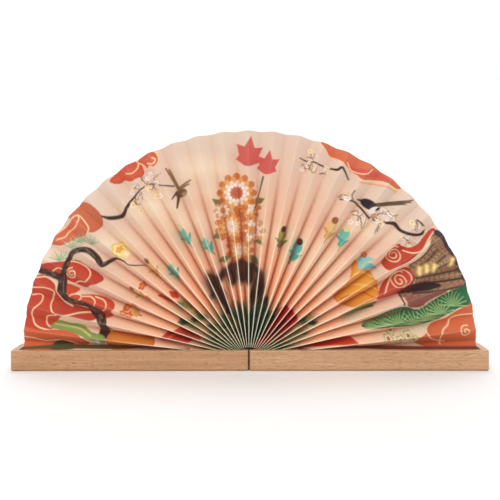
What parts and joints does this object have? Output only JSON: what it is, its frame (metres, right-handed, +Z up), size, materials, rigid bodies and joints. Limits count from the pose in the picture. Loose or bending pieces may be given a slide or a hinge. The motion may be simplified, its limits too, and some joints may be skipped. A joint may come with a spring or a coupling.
{
  "type": "hand fan",
  "caption": "Half-round pleated paper fan that stands in a hinged hollow wooden case and folds away inside it when the case swings shut.",
  "frame": {"origin": "middle of the surface that the open case stands on", "axes": "+X along the case towards the right half, -Y the way the printed side of the leaf faces, +Z up"},
  "size_m": [0.4744, 0.03, 0.2392],
  "materials": {
    "case_wood": "fine straight grain, satin clear oil",
    "black_hinge_metal": "matt black",
    "black_screw_steel": "blackened",
    "black_felt": "thin pressed felt",
    "magnet_nickel": "nickel plated",
    "printed_paper": "uncoated art paper, printed on one side"
  },
  "bodies": {
    "case_left": {"case_half_left": "case_wood", "hinge_leaf_left": "black_hinge_metal", "hinge_pin": "black_hinge_metal", "hinge_screws_left": "black_screw_steel", "end_pad_left": "black_felt", "magnet_left": "magnet_nickel", "leaf_end_left": "printed_paper"},
    "case_right": {"case_half_right": "case_wood", "hinge_leaf_right": "black_hinge_metal", "hinge_screws_right": "black_screw_steel", "end_pad_right": "black_felt", "magnet_right": "magnet_nickel", "leaf_end_right": "printed_paper"},
    "ridge_01": {"pleat_01": "printed_paper"},
    "ridge_02": {"pleat_02": "printed_paper"},
    "ridge_03": {"pleat_03": "printed_paper"},
    "ridge_04": {"pleat_04": "printed_paper"},
    "ridge_05": {"pleat_05": "printed_paper"},
    "ridge_06": {"pleat_06": "printed_paper"},
    "ridge_07": {"pleat_07": "printed_paper"},
    "ridge_08": {"pleat_08": "printed_paper"},
    "ridge_09": {"pleat_09": "printed_paper"},
    "ridge_10": {"pleat_10": "printed_paper"},
    "ridge_11": {"pleat_11": "printed_paper"},
    "ridge_12": {"pleat_12": "printed_paper"},
    "ridge_13": {"pleat_13": "printed_paper"},
    "ridge_14": {"pleat_14": "printed_paper"},
    "ridge_15": {"pleat_15": "printed_paper"},
    "ridge_16": {"pleat_16": "printed_paper"},
    "ridge_17": {"pleat_17": "printed_paper"},
    "ridge_18": {"pleat_18": "printed_paper"},
    "ridge_19": {"pleat_19": "printed_paper"},
    "ridge_20": {"pleat_20": "printed_paper"},
    "ridge_21": {"pleat_21": "printed_paper"},
    "ridge_22": {"pleat_22": "printed_paper"},
    "ridge_23": {"pleat_23": "printed_paper"},
    "ridge_24": {"pleat_24": "printed_paper"},
    "ridge_25": {"pleat_25": "printed_paper"},
    "ridge_26": {"pleat_26": "printed_paper"},
    "ridge_27": {"pleat_27": "printed_paper"}
  },
  "joints": [
    {"name": "case_hinge", "type": "hinge", "parent": "case_left", "child": "case_right", "pos_m": [0, 0, 0.0201], "axis": [0, -1, 0], "range_deg": [0, 180]},
    {"name": "fold_01", "type": "hinge", "parent": "case_left", "child": "ridge_01", "pos_m": [-0.00927, 0, 0.01958], "axis": [0, -1, 0], "range_deg": [0, 6.45]},
    {"name": "fold_02", "type": "hinge", "parent": "ridge_01", "child": "ridge_02", "pos_m": [-0.00915, 0, 0.01854], "axis": [0, -1, 0], "range_deg": [0, 6.45]},
    {"name": "fold_03", "type": "hinge", "parent": "ridge_02", "child": "ridge_03", "pos_m": [-0.00892, 0, 0.01753], "axis": [0, -1, 0], "range_deg": [0, 6.45]},
    {"name": "fold_04", "type": "hinge", "parent": "ridge_03", "child": "ridge_04", "pos_m": [-0.00858, 0, 0.01655], "axis": [0, -1, 0], "range_deg": [0, 6.45]},
    {"name": "fold_05", "type": "hinge", "parent": "ridge_04", "child": "ridge_05", "pos_m": [-0.00813, 0, 0.01561], "axis": [0, -1, 0], "range_deg": [0, 6.45]},
    {"name": "fold_06", "type": "hinge", "parent": "ridge_05", "child": "ridge_06", "pos_m": [-0.00757, 0, 0.01473], "axis": [0, -1, 0], "range_deg": [0, 6.45]},
    {"name": "fold_07", "type": "hinge", "parent": "ridge_06", "child": "ridge_07", "pos_m": [-0.00692, 0, 0.01391], "axis": [0, -1, 0], "range_deg": [0, 6.45]},
    {"name": "fold_08", "type": "hinge", "parent": "ridge_07", "child": "ridge_08", "pos_m": [-0.00619, 0, 0.01318], "axis": [0, -1, 0], "range_deg": [0, 6.45]},
    {"name": "fold_09", "type": "hinge", "parent": "ridge_08", "child": "ridge_09", "pos_m": [-0.00537, 0, 0.01253], "axis": [0, -1, 0], "range_deg": [0, 6.45]},
    {"name": "fold_10", "type": "hinge", "parent": "ridge_09", "child": "ridge_10", "pos_m": [-0.00449, 0, 0.01197], "axis": [0, -1, 0], "range_deg": [0, 6.45]},
    {"name": "fold_11", "type": "hinge", "parent": "ridge_10", "child": "ridge_11", "pos_m": [-0.00355, 0, 0.01152], "axis": [0, -1, 0], "range_deg": [0, 6.45]},
    {"name": "fold_12", "type": "hinge", "parent": "ridge_11", "child": "ridge_12", "pos_m": [-0.00257, 0, 0.01118], "axis": [0, -1, 0], "range_deg": [0, 6.45]},
    {"name": "fold_13", "type": "hinge", "parent": "ridge_12", "child": "ridge_13", "pos_m": [-0.00156, 0, 0.01095], "axis": [0, -1, 0], "range_deg": [0, 6.45]},
    {"name": "fold_14", "type": "hinge", "parent": "ridge_13", "child": "ridge_14", "pos_m": [-0.00052, 0, 0.01083], "axis": [0, -1, 0], "range_deg": [0, 6.45]},
    {"name": "fold_15", "type": "hinge", "parent": "ridge_14", "child": "ridge_15", "pos_m": [0.00052, 0, 0.01083], "axis": [0, -1, 0], "range_deg": [0, 6.45]},
    {"name": "fold_16", "type": "hinge", "parent": "ridge_15", "child": "ridge_16", "pos_m": [0.00156, 0, 0.01095], "axis": [0, -1, 0], "range_deg": [0, 6.45]},
    {"name": "fold_17", "type": "hinge", "parent": "ridge_16", "child": "ridge_17", "pos_m": [0.00257, 0, 0.01118], "axis": [0, -1, 0], "range_deg": [0, 6.45]},
    {"name": "fold_18", "type": "hinge", "parent": "ridge_17", "child": "ridge_18", "pos_m": [0.00355, 0, 0.01152], "axis": [0, -1, 0], "range_deg": [0, 6.45]},
    {"name": "fold_19", "type": "hinge", "parent": "ridge_18", "child": "ridge_19", "pos_m": [0.00449, 0, 0.01197], "axis": [0, -1, 0], "range_deg": [0, 6.45]},
    {"name": "fold_20", "type": "hinge", "parent": "ridge_19", "child": "ridge_20", "pos_m": [0.00537, 0, 0.01253], "axis": [0, -1, 0], "range_deg": [0, 6.45]},
    {"name": "fold_21", "type": "hinge", "parent": "ridge_20", "child": "ridge_21", "pos_m": [0.00619, 0, 0.01318], "axis": [0, -1, 0], "range_deg": [0, 6.45]},
    {"name": "fold_22", "type": "hinge", "parent": "ridge_21", "child": "ridge_22", "pos_m": [0.00692, 0, 0.01391], "axis": [0, -1, 0], "range_deg": [0, 6.45]},
    {"name": "fold_23", "type": "hinge", "parent": "ridge_22", "child": "ridge_23", "pos_m": [0.00757, 0, 0.01473], "axis": [0, -1, 0], "range_deg": [0, 6.45]},
    {"name": "fold_24", "type": "hinge", "parent": "ridge_23", "child": "ridge_24", "pos_m": [0.00813, 0, 0.01561], "axis": [0, -1, 0], "range_deg": [0, 6.45]},
    {"name": "fold_25", "type": "hinge", "parent": "ridge_24", "child": "ridge_25", "pos_m": [0.00858, 0, 0.01655], "axis": [0, -1, 0], "range_deg": [0, 6.45]},
    {"name": "fold_26", "type": "hinge", "parent": "ridge_25", "child": "ridge_26", "pos_m": [0.00892, 0, 0.01753], "axis": [0, -1, 0], "range_deg": [0, 6.45]},
    {"name": "fold_27", "type": "hinge", "parent": "ridge_26", "child": "ridge_27", "pos_m": [0.00915, 0, 0.01854], "axis": [0, -1, 0], "range_deg": [0, 6.45]}
  ],
  "couplings": [
    {"joint": "fold_01", "follows": "case_hinge", "ratio": 0.035714},
    {"joint": "fold_02", "follows": "case_hinge", "ratio": 0.035714},
    {"joint": "fold_03", "follows": "case_hinge", "ratio": 0.035714},
    {"joint": "fold_04", "follows": "case_hinge", "ratio": 0.035714},
    {"joint": "fold_05", "follows": "case_hinge", "ratio": 0.035714},
    {"joint": "fold_06", "follows": "case_hinge", "ratio": 0.035714},
    {"joint": "fold_07", "follows": "case_hinge", "ratio": 0.035714},
    {"joint": "fold_08", "follows": "case_hinge", "ratio": 0.035714},
    {"joint": "fold_09", "follows": "case_hinge", "ratio": 0.035714},
    {"joint": "fold_10", "follows": "case_hinge", "ratio": 0.035714},
    {"joint": "fold_11", "follows": "case_hinge", "ratio": 0.035714},
    {"joint": "fold_12", "follows": "case_hinge", "ratio": 0.035714},
    {"joint": "fold_13", "follows": "case_hinge", "ratio": 0.035714},
    {"joint": "fold_14", "follows": "case_hinge", "ratio": 0.035714},
    {"joint": "fold_15", "follows": "case_hinge", "ratio": 0.035714},
    {"joint": "fold_16", "follows": "case_hinge", "ratio": 0.035714},
    {"joint": "fold_17", "follows": "case_hinge", "ratio": 0.035714},
    {"joint": "fold_18", "follows": "case_hinge", "ratio": 0.035714},
    {"joint": "fold_19", "follows": "case_hinge", "ratio": 0.035714},
    {"joint": "fold_20", "follows": "case_hinge", "ratio": 0.035714},
    {"joint": "fold_21", "follows": "case_hinge", "ratio": 0.035714},
    {"joint": "fold_22", "follows": "case_hinge", "ratio": 0.035714},
    {"joint": "fold_23", "follows": "case_hinge", "ratio": 0.035714},
    {"joint": "fold_24", "follows": "case_hinge", "ratio": 0.035714},
    {"joint": "fold_25", "follows": "case_hinge", "ratio": 0.035714},
    {"joint": "fold_26", "follows": "case_hinge", "ratio": 0.035714},
    {"joint": "fold_27", "follows": "case_hinge", "ratio": 0.035714}
  ]
}
